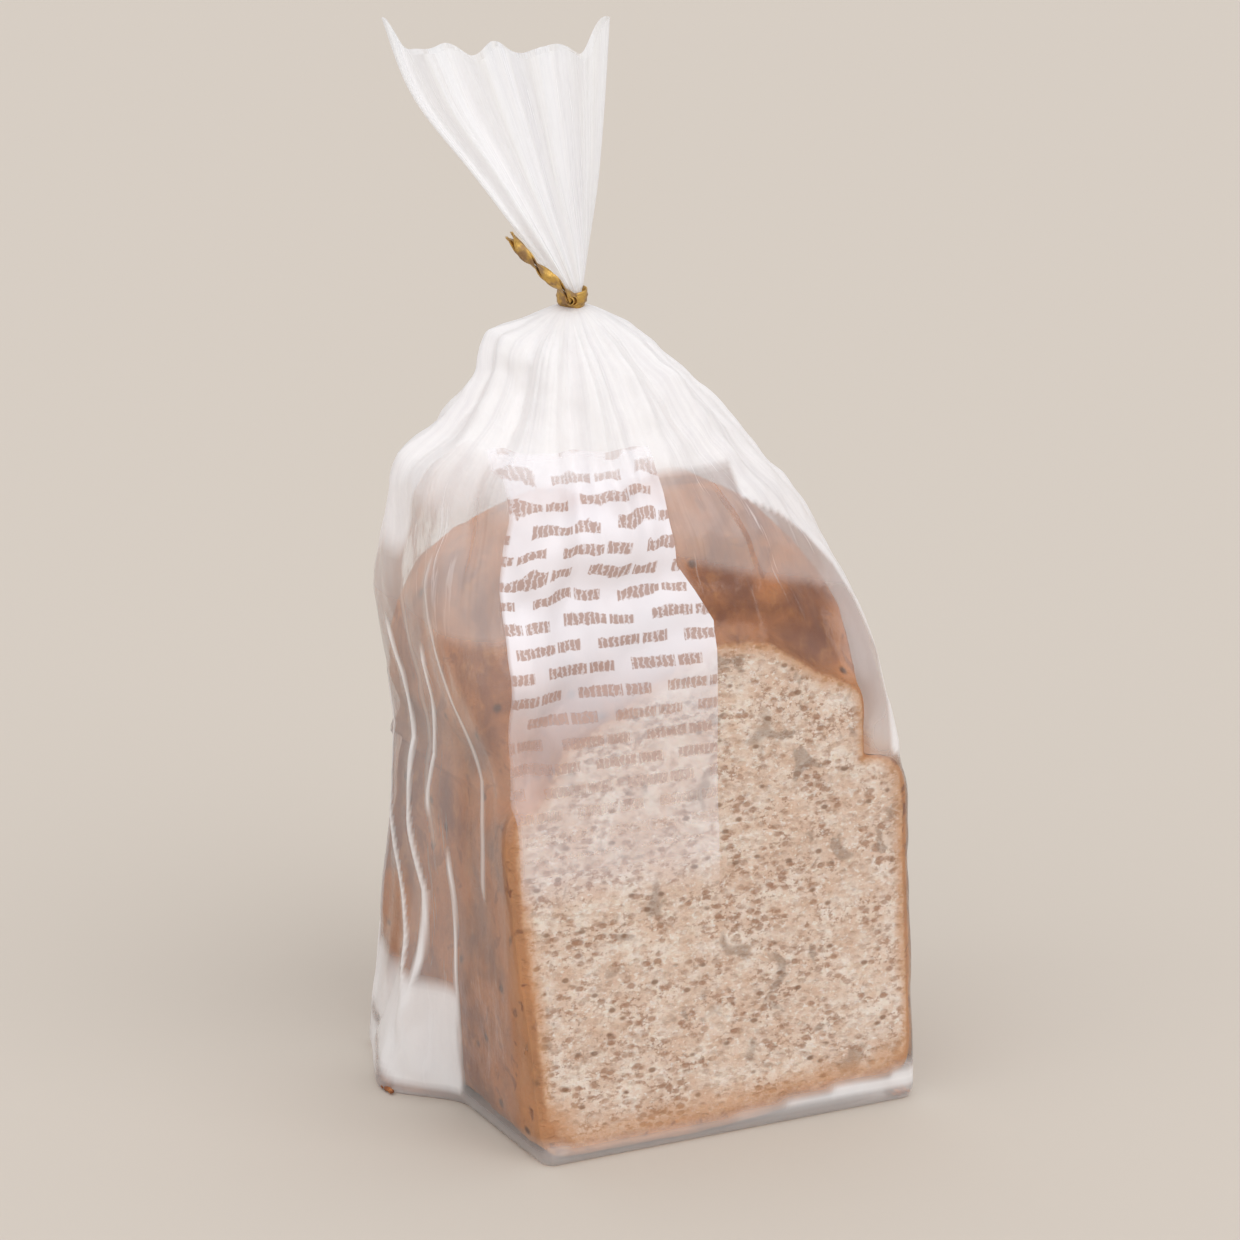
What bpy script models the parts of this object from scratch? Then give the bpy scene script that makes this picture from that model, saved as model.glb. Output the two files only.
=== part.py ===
"""Half a loaf of bread in a clear bag gathered at the neck by a twist tie.

Axes: X along the cut face of the loaf, Y into its depth with the cut face
toward -Y, Z up.  The base of the bag lies on Z = 0.
"""
import math

import bmesh
import bpy
from mathutils import Matrix, Vector

MM = 0.001

# --- driving sizes, millimetres -------------------------------------------
BASE_LEFT, BODY_LEFT, BODY_RIGHT = -75.5, -56.0, 67.5   # side walls in x
FRONT_FOOT, FRONT_LEAN = -54.0, 0.11      # front wall y at the base, lean back
BACK_FOOT, BACK_LEAN = 54.0, -0.03        # back wall y at the base, lean in
FRONT_SPREAD = 5.8                        # spread of the front left edge at the shoulder
GUSSET_TOP = 86.0                         # where the loose left side ends
GUSSET_MIDDLE, GUSSET_SPREAD = 8.0, 36.0  # place and half length of its belly in y
SHOULDER_Z = 105.0                        # where the walls start to close
NECK = (-13.2, 22.0, 229.5)               # centre of the gathered neck
NECK_RADIUS = 2.8
NECK_HALF = 2.2                           # half length of the straight neck
CORNER_FOOT, CORNER_BODY = 5.0, 12.0      # corner radius at base and shoulder
CLOSE_X = (2.20, 0.66)                    # closing curve across the width
CLOSE_Y = (2.6, 0.80)                     # closing curve through the depth
CROWN_LEFT, CROWN_RIGHT = 8.5, 5.5        # fullness beside the loaf's crown
CROWN_Z, CROWN_SPREAD = 160.0, 32.0       # its height and half height
PLEAT_DEPTH = 2.6                         # deepest pleat of the shoulders
TAIL_HEIGHT = 68.0                        # gathered film above the tie
TAIL_LEAN = (-19.5, 10.5)                 # shift of the tail's top
TAIL_HALF_WIDTH, TAIL_HALF_THICK = 31.5, 4.2
TAIL_TURN = -20.0                         # degrees, plane of the fan
TAIL_PLEAT, TAIL_PLEATS = 4.6, 4.5        # depth and number of its folds
TAIL_EAR = 8.0                            # rise of the two outer corners
TAIL_DISH = 2.0                           # hollow of the top between the films

TIE_GAP = 0.5                             # clear space between film and tie
TIE_WIDTH, TIE_THICK = 3.4, 1.0           # ribbon
TIE_SIDE = (-0.485, -0.875)               # way from the neck to the knot
TIE_END = (-17.0, 6.0, 19.5)              # from the knot to the end of the tail
TIE_TURNS = 2.25                          # twist along the tail
KNOT = (5.0, 3.0, 4.6)                    # knot: wide, deep, high

AROUND = 72
SIDE_RINGS = 13
CLOSE_RINGS = 22
TAIL_RINGS = 13


def lerp(a, b, t):
    return a + (b - a) * t


def smooth(t):
    t = max(0.0, min(1.0, t))
    return t * t * (3.0 - 2.0 * t)


def bell(v, middle, width):
    return math.exp(-((v - middle) / width) ** 2)


def rounded_box(f, hx, hy, r):
    """Point and normal at share f of the way round from the middle of the back."""
    r = min(r, hx - 1e-6, hy - 1e-6)
    quarter = math.pi * r / 2
    sx, sy = hx - r, hy - r
    s = (f % 1.0) * (4 * sx + 4 * sy + 4 * quarter)
    corners = ((-sx, sy, 90), (-sx, -sy, 180), (sx, -sy, 270), (sx, sy, 0))
    straights = ((sx, lambda d: (-d, hy, 0, 1)),
                 (2 * sy, lambda d: (-hx, sy - d, -1, 0)),
                 (2 * sx, lambda d: (-sx + d, -hy, 0, -1)),
                 (2 * sy, lambda d: (hx, -sy + d, 1, 0)),
                 (sx, lambda d: (sx - d, hy, 0, 1)))
    for k, (run, place) in enumerate(straights):
        if s <= run:
            return place(s)
        s -= run
        if k < 4:
            if s <= quarter:
                x, y, a0 = corners[k]
                a = math.radians(a0) + s / r
                return x + r * math.cos(a), y + r * math.sin(a), math.cos(a), math.sin(a)
            s -= quarter
    return 0.0, hy, 0.0, 1.0


def wall_box(z):
    """Left, right, front and back walls at a height below the shoulder."""
    return BODY_LEFT, BODY_RIGHT, FRONT_FOOT + FRONT_LEAN * z, BACK_FOOT + BACK_LEAN * z


def gusset(y, z):
    """How far the loose left side stands out of the straight wall."""
    up = max(0.0, 1.0 - z / GUSSET_TOP)
    return (BODY_LEFT - BASE_LEFT) * up ** 1.2 * bell(y, GUSSET_MIDDLE, GUSSET_SPREAD)


def spread(y, z):
    """How far the front of the left side stands out, following the flared loaf."""
    return FRONT_SPREAD * smooth(z / 95.0) ** 0.8 * smooth((28.0 - y) / 66.0)


def closed_share(z):
    return min(1.0, (z - SHOULDER_Z) / (NECK[2] - NECK_HALF - SHOULDER_Z))


def film_point(f, z):
    """Point of the bag's skin at share f round and height z up to the neck."""
    left, right, front, back = wall_box(min(z, SHOULDER_Z))
    cx, cy = (left + right) / 2, (front + back) / 2
    hx, hy = (right - left) / 2, (back - front) / 2
    if z <= SHOULDER_Z:
        r = lerp(CORNER_FOOT, CORNER_BODY, smooth(z / SHOULDER_Z))
        x, y, nx, ny = rounded_box(f, hx, hy, r)
        x, y = x + cx, y + cy
        if x < cx:
            side = smooth((cx - x) / hx * 2.2 - 1.2)
            x -= (gusset(y, z) + spread(y, z)) * side
        return Vector((x, y, z)), Vector((nx, ny, 0.0))
    t = closed_share(z)
    sx = max(0.0, 1 - t ** CLOSE_X[0]) ** CLOSE_X[1]
    sy = max(0.0, 1 - t ** CLOSE_Y[0]) ** CLOSE_Y[1]
    wx = lerp(NECK_RADIUS, hx, sx)
    wy = lerp(NECK_RADIUS, hy, sy)
    round_r = min(wx, wy)
    r = lerp(CORNER_BODY, round_r, smooth(t * 1.1))
    r = min(r, round_r)
    cx = lerp(cx, NECK[0], math.sin(t * math.pi / 2))
    cy = lerp(cy, NECK[1], t ** 1.5)
    x, y, nx, ny = rounded_box(f, wx, wy, r)
    if x < 0:
        x -= spread(y + cy, z) * smooth(-x / wx * 2.2 - 1.2) * (1.0 - t) ** 0.8
    full = CROWN_LEFT * max(0.0, -nx) + CROWN_RIGHT * max(0.0, nx)
    x += nx * full * bell(z, CROWN_Z, CROWN_SPREAD) * smooth(t * 5)
    deep = pleat(f) * PLEAT_DEPTH * smooth(t * 1.6) * min(1.0, round_r / 14.0)
    deep *= (1.0 + 1.2 * smooth((t - 0.5) * 2)) * smooth((1.0 - t) * 9)
    return Vector((x + cx + nx * deep, y + cy + ny * deep, z)), Vector((nx, ny, 0.0))


def pleat(f):
    a = 2 * math.pi * f
    return (0.42 * math.cos(5 * a + 0.6) + 0.33 * math.cos(8 * a + 2.1)
            + 0.25 * math.cos(13 * a + 4.0)) - 0.35


def tail_point(f, t):
    """Point of the gathered fan above the tie, t from 0 at the neck to 1."""
    half_w = lerp(NECK_RADIUS, TAIL_HALF_WIDTH, t ** 0.88)
    half_t = lerp(NECK_RADIUS, TAIL_HALF_THICK, t ** 0.8)
    x, y, nx, ny = rounded_box(f, half_w, half_t, half_t * 0.98)
    u = x / half_w
    if u < 0:
        x *= 1.0 + 0.15 * bell(t, 0.74, 0.22)
    y += TAIL_PLEAT * t ** 0.9 * math.sin(math.pi * TAIL_PLEATS * u + 0.8)
    ear = TAIL_EAR * (smooth((abs(u) - 0.72) / 0.28)) + 2.2 * math.cos(4 * math.pi * u) - 2.2
    z = NECK[2] + NECK_HALF + TAIL_HEIGHT * t + ear * t ** 4
    a = math.radians(TAIL_TURN) * smooth(t * 2)
    px, py = x * math.cos(a) - y * math.sin(a), x * math.sin(a) + y * math.cos(a)
    return Vector((NECK[0] + TAIL_LEAN[0] * t + px, NECK[1] + TAIL_LEAN[1] * t + py, z))
# --- end of forms ---


def remake(name, verts, faces, colour, roughness, metallic):
    """One named object with its own material from points in millimetres."""
    mesh = bpy.data.meshes.new(name)
    mesh.from_pydata([Vector(v) * MM for v in verts], [], faces)
    mesh.update()
    obj = bpy.data.objects.new(name, mesh)
    bpy.context.scene.collection.objects.link(obj)
    material = bpy.data.materials.new(name + "_skin")
    material.use_nodes = True
    shader = material.node_tree.nodes["Principled BSDF"]
    shader.inputs["Base Color"].default_value = colour
    shader.inputs["Roughness"].default_value = roughness
    shader.inputs["Metallic"].default_value = metallic
    mesh.materials.append(material)
    return obj


def skin(rings):
    """Vertices and outward faces of a stack of equal rings, both ends closed."""
    n = len(rings[0])
    verts = [p for ring in rings for p in ring]
    faces = []
    for i in range(len(rings) - 1):
        for j in range(n):
            k = (j + 1) % n
            faces.append((i * n + j, i * n + k, (i + 1) * n + k, (i + 1) * n + j))
    faces.append(tuple(range(n - 1, -1, -1)))
    return verts, faces


def bag():
    """Filled bag: body, gathered neck and the fan of film above it, one solid."""
    # twice as many points at the four corners as along the walls
    shares = [j / AROUND + 0.02 * math.sin(8 * math.pi * j / AROUND) for j in range(AROUND)]
    heights = [0.0, 1.2] + [lerp(5.0, SHOULDER_Z, (i / (SIDE_RINGS - 2)) ** 1.0)
                            for i in range(SIDE_RINGS - 1)]
    top = NECK[2] - NECK_HALF
    for i in range(1, CLOSE_RINGS + 1):
        heights.append(lerp(SHOULDER_Z, top, 1.0 - (1.0 - i / CLOSE_RINGS) ** 1.45))
    rings = []
    for z in heights:
        ring = [film_point(f, z) for f in shares]
        inset = 1.2 if z == 0.0 else 0.0
        rings.append([p - n * inset for p, n in ring])
    for i in range(TAIL_RINGS + 1):
        rings.append([tail_point(f, (i / TAIL_RINGS) ** 1.15) for f in shares])
    verts, faces = skin(rings)
    # the open end: a shallow hollow between the front and back films
    base, quarter = (len(rings) - 1) * AROUND, AROUND // 4
    front = [base + (quarter + k) % AROUND for k in range(2 * quarter + 1)]
    back = [base + (quarter - k) % AROUND for k in range(2 * quarter + 1)]
    middle = [front[0]]
    for k in range(1, 2 * quarter):
        ends = min(k, 2 * quarter - k) / 4.0
        point = (verts[front[k]] + verts[back[k]]) / 2
        verts.append(point - Vector((0, 0, TAIL_DISH * smooth(ends))))
        middle.append(len(verts) - 1)
    middle.append(front[-1])
    for k in range(2 * quarter):
        for side in ((front[k], front[k + 1], middle[k + 1], middle[k]),
                     (middle[k], middle[k + 1], back[k + 1], back[k])):
            faces.append(tuple(dict.fromkeys(side)))
    return remake("filled_bag", verts, faces, (0.86, 0.82, 0.80, 1.0), 0.25, 0.0)


def closed_ring(name, stations):
    """A tube of quads whose last station joins the first."""
    n, m = len(stations), len(stations[0])
    verts = [p for ring in stations for p in ring]
    faces = [(i * m + j, i * m + (j + 1) % m, (i + 1) % n * m + (j + 1) % m, (i + 1) % n * m + j)
             for i in range(n) for j in range(m)]
    return remake(name, verts, faces, (0.45, 0.28, 0.07, 1.0), 0.35, 0.9)


def twist_tie():
    """Ribbon round the neck, its knot at the front and its two ends twisted in one."""
    centre = Vector(NECK)
    inner = NECK_RADIUS + TIE_GAP
    outer = inner + TIE_THICK
    stations = []
    for i in range(36):
        a = 2 * math.pi * i / 36
        way = Vector((math.cos(a), math.sin(a), 0))
        stations.append([centre + way * r + Vector((0, 0, h * TIE_WIDTH / 2))
                         for r, h in ((inner, -1), (outer, -0.8), (outer, 0.8), (inner, 1))])
    ring = closed_ring("twist_tie", stations)

    side = Vector((TIE_SIDE[0], TIE_SIDE[1], 0)).normalized()
    across = Vector((-side.y, side.x, 0))
    knot_at = centre + side * (inner + 0.1 + KNOT[1] / 2)
    verts = []
    for dz in (-1, 1):
        for dx, dy in ((-1, -0.55), (-0.55, -1), (0.55, -1), (1, -0.55),
                       (1, 0.55), (0.55, 1), (-0.55, 1), (-1, 0.55)):
            verts.append(knot_at + across * dx * KNOT[0] / 2 - side * dy * KNOT[1] / 2
                         + Vector((0, 0, dz * KNOT[2] / 2)))
    faces = [(j, (j + 1) % 8, 8 + (j + 1) % 8, 8 + j) for j in range(8)]
    faces += [tuple(range(7, -1, -1)), tuple(range(8, 16))]
    knot = remake("knot", verts, faces, (0.45, 0.28, 0.07, 1.0), 0.35, 0.9)

    start = knot_at + side * 0.2
    end = start + Vector(TIE_END) + side * 1.5
    along = (end - start).normalized()
    flat = along.cross(side).normalized()
    up = along.cross(flat)
    verts, steps = [], 30
    for i in range(steps + 1):
        t = i / steps
        sag = side * 1.6 * math.sin(math.pi * t)
        a = TIE_TURNS * 2 * math.pi * t
        wide = flat * math.cos(a) + up * math.sin(a)
        thin = up * math.cos(a) - flat * math.sin(a)
        w, h = 1.55, 0.62
        verts += [start.lerp(end, t) + sag + wide * w * p + thin * h * q
                  for p, q in ((-1, -1), (1, -1), (1, 1), (-1, 1))]
    faces = [(i * 4 + j, i * 4 + (j + 1) % 4, i * 4 + 4 + (j + 1) % 4, i * 4 + 4 + j)
             for i in range(steps) for j in range(4)]
    faces += [(3, 2, 1, 0), tuple(steps * 4 + j for j in range(4))]
    tail = remake("tail", verts, faces, (0.45, 0.28, 0.07, 1.0), 0.35, 0.9)

    for other in (knot, tail):
        outward(other)
        join = ring.modifiers.new("join", "BOOLEAN")
        join.operation = "UNION"
        join.solver = "EXACT"
        join.object = other
    graph = bpy.context.evaluated_depsgraph_get()
    joined = bpy.data.meshes.new_from_object(ring.evaluated_get(graph))
    ring.modifiers.clear()
    ring.data = joined
    for other in (knot, tail):
        bpy.data.objects.remove(other)
    return ring


def outward(obj):
    """Weld, drop needles and turn every face outward."""
    bm = bmesh.new()
    bm.from_mesh(obj.data)
    bmesh.ops.remove_doubles(bm, verts=bm.verts, dist=0.00002)
    bmesh.ops.recalc_face_normals(bm, faces=bm.faces)
    bm.to_mesh(obj.data)
    bm.free()


def centre_on_base(objects):
    """Bring the middle of the whole box to X = Y = 0 and its base to Z = 0."""
    points = [v.co for o in objects for v in o.data.vertices]
    low = Vector([min(p[i] for p in points) for i in range(3)])
    high = Vector([max(p[i] for p in points) for i in range(3)])
    shift = Vector((-(low.x + high.x) / 2, -(low.y + high.y) / 2, -low.z))
    for o in objects:
        o.data.transform(Matrix.Translation(shift))
        o.data.update()
    return shift


def build():
    for obj in list(bpy.data.objects):
        bpy.data.objects.remove(obj)
    bpy.context.scene.unit_settings.scale_length = 1.0
    pieces = [bag(), twist_tie()]
    for piece in pieces:
        outward(piece)
    shift = centre_on_base(pieces)
    print("moved by mm:", [round(v * 1000, 3) for v in shift])
    for piece in pieces:
        print(piece.name, len(piece.data.vertices), "points")


build()
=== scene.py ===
"""Half a wholemeal loaf standing in a clear bread bag, gathered at the neck.

Forms are worked out in millimetres in the bag's own axes (X along the cut
face, Y into the loaf, Z up) and placed in the frame by place().
"""

import math

import bpy
import numpy as np
from bpy.props import FloatProperty, FloatVectorProperty, IntProperty, PointerProperty
from mathutils import Matrix, Vector, noise
from mathutils.bvhtree import BVHTree


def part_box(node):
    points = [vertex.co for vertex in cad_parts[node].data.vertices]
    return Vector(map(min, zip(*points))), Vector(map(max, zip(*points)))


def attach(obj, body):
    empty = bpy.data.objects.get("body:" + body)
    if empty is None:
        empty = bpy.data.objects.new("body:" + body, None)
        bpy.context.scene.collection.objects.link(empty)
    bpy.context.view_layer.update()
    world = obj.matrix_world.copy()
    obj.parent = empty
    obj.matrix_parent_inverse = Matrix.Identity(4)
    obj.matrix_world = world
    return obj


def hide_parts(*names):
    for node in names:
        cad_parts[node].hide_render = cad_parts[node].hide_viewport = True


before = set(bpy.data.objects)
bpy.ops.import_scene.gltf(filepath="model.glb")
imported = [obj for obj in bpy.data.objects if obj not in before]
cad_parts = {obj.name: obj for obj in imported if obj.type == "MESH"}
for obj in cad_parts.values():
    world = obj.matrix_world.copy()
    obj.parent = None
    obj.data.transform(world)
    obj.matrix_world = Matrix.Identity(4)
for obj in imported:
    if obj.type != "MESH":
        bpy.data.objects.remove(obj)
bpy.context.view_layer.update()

bl_info = {
    "name": "Bagged bread loaf",
    "version": (1, 0, 0),
    "blender": (4, 5, 0),
    "location": "3D View > Sidebar > Bread",
    "description": "Half a wholemeal loaf in a clear bag with a printed band and a twist tie",
    "category": "Add Mesh",
}

# --- sizes shared with the solid bag, millimetres ---------------------------
BASE_LEFT, BODY_LEFT, BODY_RIGHT = -75.5, -56.0, 67.5
FRONT_FOOT, FRONT_LEAN = -54.0, 0.11
BACK_FOOT, BACK_LEAN = 54.0, -0.03
FRONT_SPREAD = 5.8
GUSSET_TOP, GUSSET_MIDDLE, GUSSET_SPREAD = 86.0, 8.0, 36.0
SHOULDER_Z = 105.0
NECK = (-13.2, 22.0, 229.5)
NECK_RADIUS, NECK_HALF = 2.8, 2.2
CORNER_FOOT, CORNER_BODY = 5.0, 12.0
CLOSE_X, CLOSE_Y = (2.20, 0.66), (2.6, 0.80)
CROWN_LEFT, CROWN_RIGHT = 8.5, 5.5
CROWN_Z, CROWN_SPREAD = 160.0, 32.0
TAIL_HEIGHT, TAIL_LEAN = 68.0, (-19.5, 10.5)
TAIL_HALF_WIDTH, TAIL_TURN = 31.5, -20.0
GIRTH = 475.0
LOAF_MIDDLE = (5.0, 72.0)
BASE_ROWS = 10


def lerp(a, b, t):
    return a + (b - a) * t


def smooth(t):
    t = np.clip(t, 0.0, 1.0)
    return t * t * (3.0 - 2.0 * t)


def bell(v, middle, width):
    return np.exp(-((v - middle) / width) ** 2)


def rough(x, y, z, octaves=3, seed=0.0):
    """Seeded fractal noise, about -1 to 1, at a point in pattern units."""
    return noise.fractal(Vector((x + seed, y - seed, z + 0.37 * seed)), 1.0, 2.0, octaves)


def rounded_box(f, hx, hy, r):
    """Points and normals at shares f of the way round, from the middle of the back."""
    r = np.minimum(r, np.minimum(hx, hy) - 1e-6)
    quarter = np.pi * r / 2
    sx, sy = hx - r, hy - r
    s = (f % 1.0) * (4 * sx + 4 * sy + 4 * quarter)
    x, y = np.zeros_like(s), np.zeros_like(s)
    nx, ny = np.zeros_like(s), np.zeros_like(s)
    done = np.zeros(s.shape, bool)
    straights = ((sx, (-1, 0), (0, 1)), (2 * sy, (0, -1), (-1, 0)), (2 * sx, (1, 0), (0, -1)),
                 (2 * sy, (0, 1), (1, 0)), (sx, (-1, 0), (0, 1)))
    starts = ((0 * sx, hy), (-hx, sy), (-sx, -hy), (hx, -sy), (sx, hy))
    corners = ((-sx, sy, 90), (-sx, -sy, 180), (sx, -sy, 270), (sx, sy, 0))
    for k in range(5):
        run, way, out = straights[k]
        here = ~done & (s <= run)
        x = np.where(here, starts[k][0] + way[0] * s, x)
        y = np.where(here, starts[k][1] + way[1] * s, y)
        nx, ny = np.where(here, out[0], nx), np.where(here, out[1], ny)
        done |= here
        s = s - run
        if k < 4:
            here = ~done & (s <= quarter)
            a = np.radians(corners[k][2]) + s / r
            x = np.where(here, corners[k][0] + r * np.cos(a), x)
            y = np.where(here, corners[k][1] + r * np.sin(a), y)
            nx, ny = np.where(here, np.cos(a), nx), np.where(here, np.sin(a), ny)
            done |= here
            s = s - quarter
    return x, y, nx, ny


def spread(y, z):
    return FRONT_SPREAD * smooth(z / 95.0) ** 0.8 * smooth((28.0 - y) / 66.0)


def bag_form(f, z):
    """Points (x, y) and normals of the plain bag at shares f and heights z."""
    low = np.minimum(z, SHOULDER_Z)
    front, back = FRONT_FOOT + FRONT_LEAN * low, BACK_FOOT + BACK_LEAN * low
    cx, cy = (BODY_LEFT + BODY_RIGHT) / 2 + 0 * z, (front + back) / 2
    hx, hy = (BODY_RIGHT - BODY_LEFT) / 2 + 0 * z, (back - front) / 2
    t = np.clip((z - SHOULDER_Z) / (NECK[2] - NECK_HALF - SHOULDER_Z), 0.0, 1.0)
    wx = lerp(NECK_RADIUS, hx, (1 - t ** CLOSE_X[0]) ** CLOSE_X[1])
    wy = lerp(NECK_RADIUS, hy, (1 - t ** CLOSE_Y[0]) ** CLOSE_Y[1])
    least = np.minimum(wx, wy)
    r = lerp(CORNER_FOOT, CORNER_BODY, smooth(z / SHOULDER_Z))
    r = np.where(t > 0, np.minimum(lerp(CORNER_BODY, least, smooth(t * 1.1)), least), r)
    mx = lerp(cx, NECK[0], np.sin(t * np.pi / 2))
    my = lerp(cy, NECK[1], t ** 1.5)
    x, y, nx, ny = rounded_box(f, wx, wy, r)
    x, y = x + mx, y + my
    side = smooth((mx - x) / wx * 2.2 - 1.2)
    up = np.clip(1.0 - z / GUSSET_TOP, 0.0, 1.0)
    belly = (BODY_LEFT - BASE_LEFT) * up ** 1.2 * bell(y, GUSSET_MIDDLE, GUSSET_SPREAD)
    x = x - side * (belly + spread(y, z) * (1.0 - t) ** 0.8)
    full = CROWN_LEFT * np.maximum(0.0, -nx) + CROWN_RIGHT * np.maximum(0.0, nx)
    x = x + nx * full * bell(z, CROWN_Z, CROWN_SPREAD) * smooth(t * 5)
    return x, y, nx, ny, t


def bag_centre():
    """Middle of the plain bag's box, in its own axes."""
    f, z = np.meshgrid(np.arange(0, 1, 1 / 288), np.linspace(0, NECK[2] - NECK_HALF, 231))
    x, y = bag_form(f, z)[:2]
    return (x.min() + x.max()) / 2, (y.min() + y.max()) / 2


def frame_shift():
    low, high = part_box("filled_bag")
    cx, cy = bag_centre()
    return Vector(((low.x + high.x) * 500 - cx, (low.y + high.y) * 500 - cy, low.z * 1000))


SHIFT = frame_shift()


def place(p):
    """A point in the bag's own millimetres as metres in the frame."""
    return (Vector(p) + SHIFT) * 0.001


# --- small helpers for making meshes ----------------------------------------
def deselect():
    if bpy.context.object and bpy.context.object.mode != "OBJECT":
        bpy.ops.object.mode_set(mode="OBJECT")
    bpy.ops.object.select_all(action="DESELECT")


def sheet_from_grid(name, points, closed, materials):
    """A grid primitive whose points are laid on rows of places, in own millimetres.

    points is an array (rows, columns, 3); closed joins the last column to the first.
    """
    rows, columns = points.shape[:2]
    deselect()
    bpy.ops.mesh.primitive_grid_add(x_subdivisions=columns - (0 if closed else 1),
                                    y_subdivisions=rows - 1, size=2, location=(0, 0, 0))
    obj = bpy.context.object
    obj.name = obj.data.name = name
    across = columns + (1 if closed else 0)
    if closed:
        points = np.concatenate([points, points[:, :1]], axis=1)
    flat = (points.reshape(-1, 3) + np.array(SHIFT)) * 0.001
    assert len(obj.data.vertices) == rows * across, (len(obj.data.vertices), rows, across)
    obj.data.vertices.foreach_set("co", flat.astype(np.float32).ravel())
    for material in materials:
        obj.data.materials.append(material)
    obj.data.update()
    return obj


def give(obj, name, values):
    """Keeps one number for each point of the mesh under a name that materials read."""
    layer = obj.data.attributes.new(name, "FLOAT", "POINT")
    layer.data.foreach_set("value", np.asarray(values, np.float32).ravel())


def give_round(obj, **numbers):
    """The same on a closed grid, whose last column repeats the first."""
    for name, values in numbers.items():
        give(obj, name, np.concatenate([values, values[:, :1]], axis=1))


def weld(obj, distance=0.00002, recalculate=False):
    bpy.context.view_layer.objects.active = obj
    bpy.ops.object.mode_set(mode="EDIT")
    bpy.ops.mesh.select_all(action="SELECT")
    bpy.ops.mesh.remove_doubles(threshold=distance)
    if recalculate:
        bpy.ops.mesh.normals_make_consistent(inside=False)
    bpy.ops.object.mode_set(mode="OBJECT")
    bpy.ops.object.shade_smooth()


def joined(pieces, name):
    """The pieces made one, under a name."""
    deselect()
    for obj in pieces:
        obj.select_set(True)
    bpy.context.view_layer.objects.active = pieces[0]
    bpy.ops.object.join()
    pieces[0].name = pieces[0].data.name = name
    return pieces[0]


def finish_piece(obj, slot, *nodes):
    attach(obj, "root")
    if nodes:
        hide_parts(*nodes)


# --- shader arithmetic --------------------------------------------------------
class Wire:
    """A socket in a node tree, with arithmetic that adds Math nodes."""

    def __init__(self, bench, socket):
        self.bench, self.socket = bench, socket

    def sum(self, kind, *others):
        return self.bench.add("ShaderNodeMath", {"operation": kind},
                              {i: v for i, v in enumerate((self,) + others)})

    def __add__(self, other):
        return self.sum("ADD", other)

    def __sub__(self, other):
        return self.sum("SUBTRACT", other)

    def __mul__(self, other):
        return self.sum("MULTIPLY", other)

    def __truediv__(self, other):
        return self.sum("DIVIDE", other)

    def __pow__(self, other):
        return self.sum("POWER", other)

    def __rsub__(self, other):
        return self.bench.add("ShaderNodeMath", {"operation": "SUBTRACT"}, {0: other, 1: self})

    __radd__ = __add__
    __rmul__ = __mul__

    def most(self, other):
        return self.sum("MAXIMUM", other)

    def least(self, other):
        return self.sum("MINIMUM", other)

    def size(self):
        return self.sum("ABSOLUTE")

    def ramp(self, low, high, start=0.0, end=1.0):
        """Runs smoothly from start to end while the value goes from low to high."""
        return self.bench.add("ShaderNodeMapRange", {"interpolation_type": "SMOOTHSTEP"},
                              {"Value": self, "From Min": low, "From Max": high,
                               "To Min": start, "To Max": end})


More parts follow.
